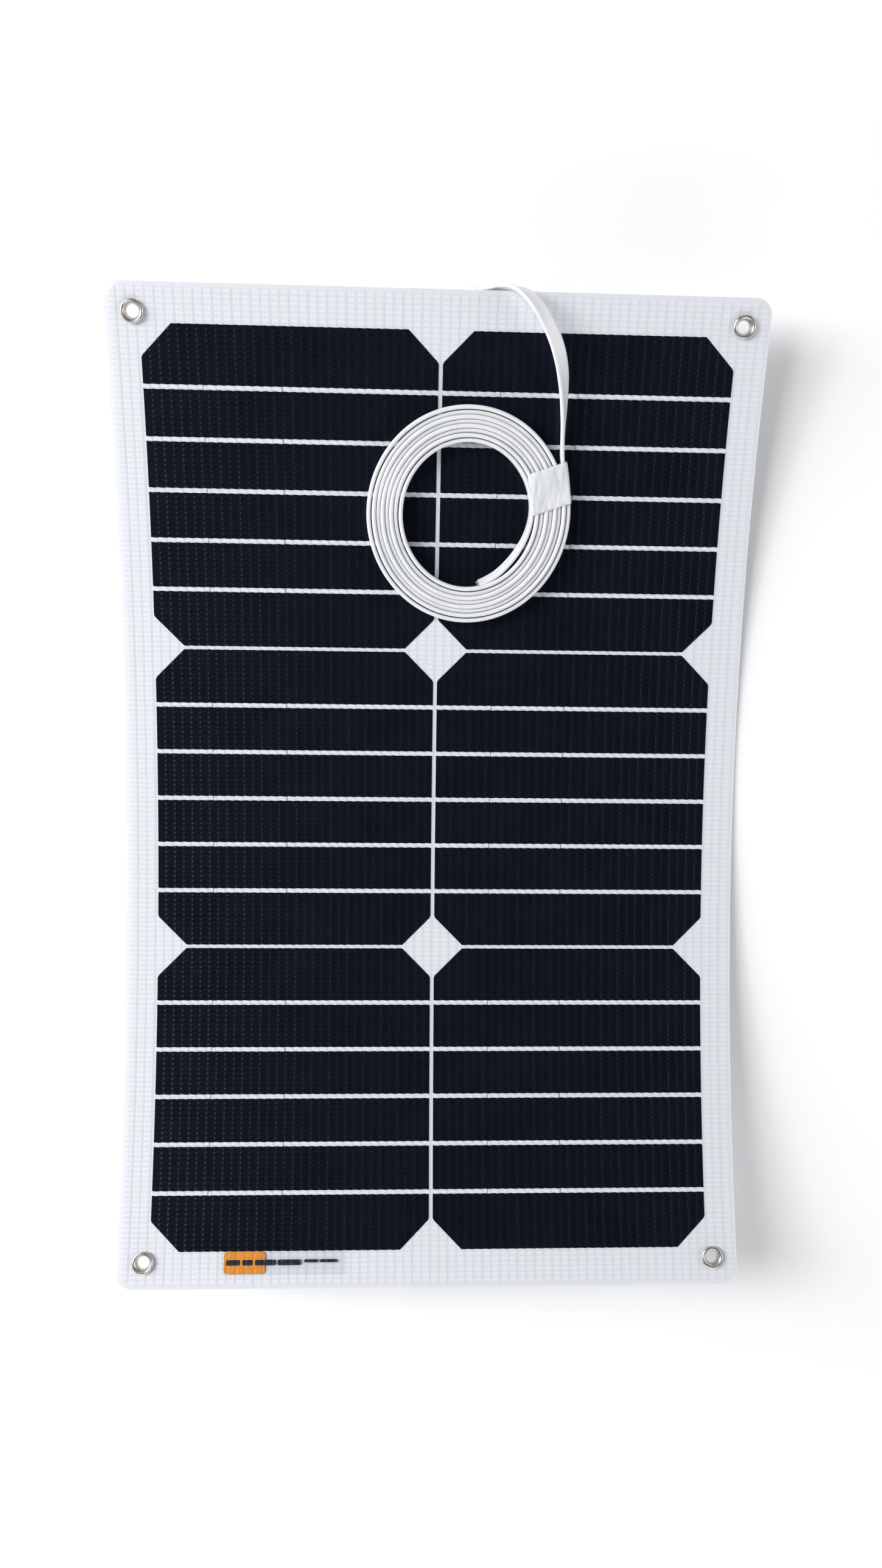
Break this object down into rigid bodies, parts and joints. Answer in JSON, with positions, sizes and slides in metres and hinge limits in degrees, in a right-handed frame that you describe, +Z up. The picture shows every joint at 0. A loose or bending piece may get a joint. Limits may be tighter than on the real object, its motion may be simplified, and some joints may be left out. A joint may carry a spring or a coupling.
{
  "type": "flexible solar sheet",
  "caption": "Thin bendable solar laminate with dark cell strips on white, corner eyelets, a back junction box and a coiled flat two-core cable taped on its front.",
  "frame": {"origin": "on the table, under the middle of the sheet's outline as it rests bent", "axes": "+X across the sheet, +Y along it towards the junction box end, +Z up from the table; the cells face +Z"},
  "size_m": [0.28, 0.4474, 0.0459],
  "materials": {
    "clear_film": "embossed, semi-gloss",
    "filler": "clear cured film",
    "cell": "dark blue-black silicon",
    "back_sheet": "satin white",
    "tab_copper": "tinned copper",
    "eyelet_metal": "bright nickel plate",
    "label": "printed film",
    "pad": "silicone adhesive",
    "box_plastic": "fine-grained moulding",
    "box_rubber": "moulded rubber",
    "diode": "epoxy",
    "terminal_brass": "plated",
    "cable": "satin white sheath with fine grooves",
    "core_copper": "bare copper strands",
    "tape": "translucent tape"
  },
  "bodies": {
    "bottom_slice": {"front_film_bottom": "clear_film", "front_filler_bottom": "filler", "cell_strips_bottom": "cell", "cell_tabs_bottom": "tab_copper", "rear_filler_bottom": "filler", "back_sheet_bottom": "back_sheet", "cross_ribbon": "tab_copper", "eyelets_bottom": "eyelet_metal", "eyelet_washers_bottom": "eyelet_metal", "label": "label"},
    "lower_slice": {"front_film_lower": "clear_film", "front_filler_lower": "filler", "cell_strips_lower": "cell", "cell_tabs_lower": "tab_copper", "rear_filler_lower": "filler", "back_sheet_lower": "back_sheet"},
    "below_middle_slice": {"front_film_below_middle": "clear_film", "front_filler_below_middle": "filler", "cell_strips_below_middle": "cell", "cell_tabs_below_middle": "tab_copper", "rear_filler_below_middle": "filler", "back_sheet_below_middle": "back_sheet"},
    "above_middle_slice": {"front_film_above_middle": "clear_film", "front_filler_above_middle": "filler", "cell_strips_above_middle": "cell", "cell_tabs_above_middle": "tab_copper", "rear_filler_above_middle": "filler", "back_sheet_above_middle": "back_sheet"},
    "upper_slice": {"front_film_upper": "clear_film", "front_filler_upper": "filler", "cell_strips_upper": "cell", "cell_tabs_upper": "tab_copper", "rear_filler_upper": "filler", "back_sheet_upper": "back_sheet"},
    "top_slice": {"front_film_top": "clear_film", "front_filler_top": "filler", "cell_strips_top": "cell", "cell_tabs_top": "tab_copper", "rear_filler_top": "filler", "back_sheet_top": "back_sheet", "output_ribbons": "tab_copper", "eyelets_top": "eyelet_metal", "eyelet_washers_top": "eyelet_metal", "box_pad": "pad", "box_base": "box_plastic", "box_lid": "box_plastic", "bypass_diode": "diode", "output_terminals": "terminal_brass", "strain_relief": "box_rubber", "cable_lead": "cable", "cable_coil": "cable", "cable_cores": "core_copper", "coil_tape": "tape"}
  },
  "joints": [
    {"name": "flex_middle", "type": "hinge", "parent": "above_middle_slice", "child": "below_middle_slice", "pos_m": [0, -0.00089, 0.00138], "axis": [-1, 0, 0], "range_deg": [-4, 1.4], "stiffness_Nm_per_rad": 18, "springref_deg": 0.34},
    {"name": "flex_below_middle", "type": "hinge", "parent": "below_middle_slice", "child": "lower_slice", "pos_m": [0, -0.06908, 0.00649], "axis": [-1, 0, 0], "range_deg": [-4, 1.4], "stiffness_Nm_per_rad": 18, "springref_deg": 0.34},
    {"name": "flex_lower", "type": "hinge", "parent": "lower_slice", "child": "bottom_slice", "pos_m": [0, -0.13648, 0.01802], "axis": [-1, 0, 0], "range_deg": [-4, 1.4], "stiffness_Nm_per_rad": 18, "springref_deg": 0.34},
    {"name": "flex_above_middle", "type": "hinge", "parent": "above_middle_slice", "child": "upper_slice", "pos_m": [0, 0.06747, 0.00271], "axis": [1, 0, 0], "range_deg": [-4, 1.4], "stiffness_Nm_per_rad": 18, "springref_deg": 0.34},
    {"name": "flex_upper", "type": "hinge", "parent": "upper_slice", "child": "top_slice", "pos_m": [0, 0.13541, 0.0105], "axis": [1, 0, 0], "range_deg": [-4, 1.4], "stiffness_Nm_per_rad": 18, "springref_deg": 0.34}
  ],
  "couplings": [
    {"joint": "flex_below_middle", "follows": "flex_middle", "ratio": 1},
    {"joint": "flex_lower", "follows": "flex_middle", "ratio": 1},
    {"joint": "flex_above_middle", "follows": "flex_middle", "ratio": 1},
    {"joint": "flex_upper", "follows": "flex_middle", "ratio": 1}
  ]
}
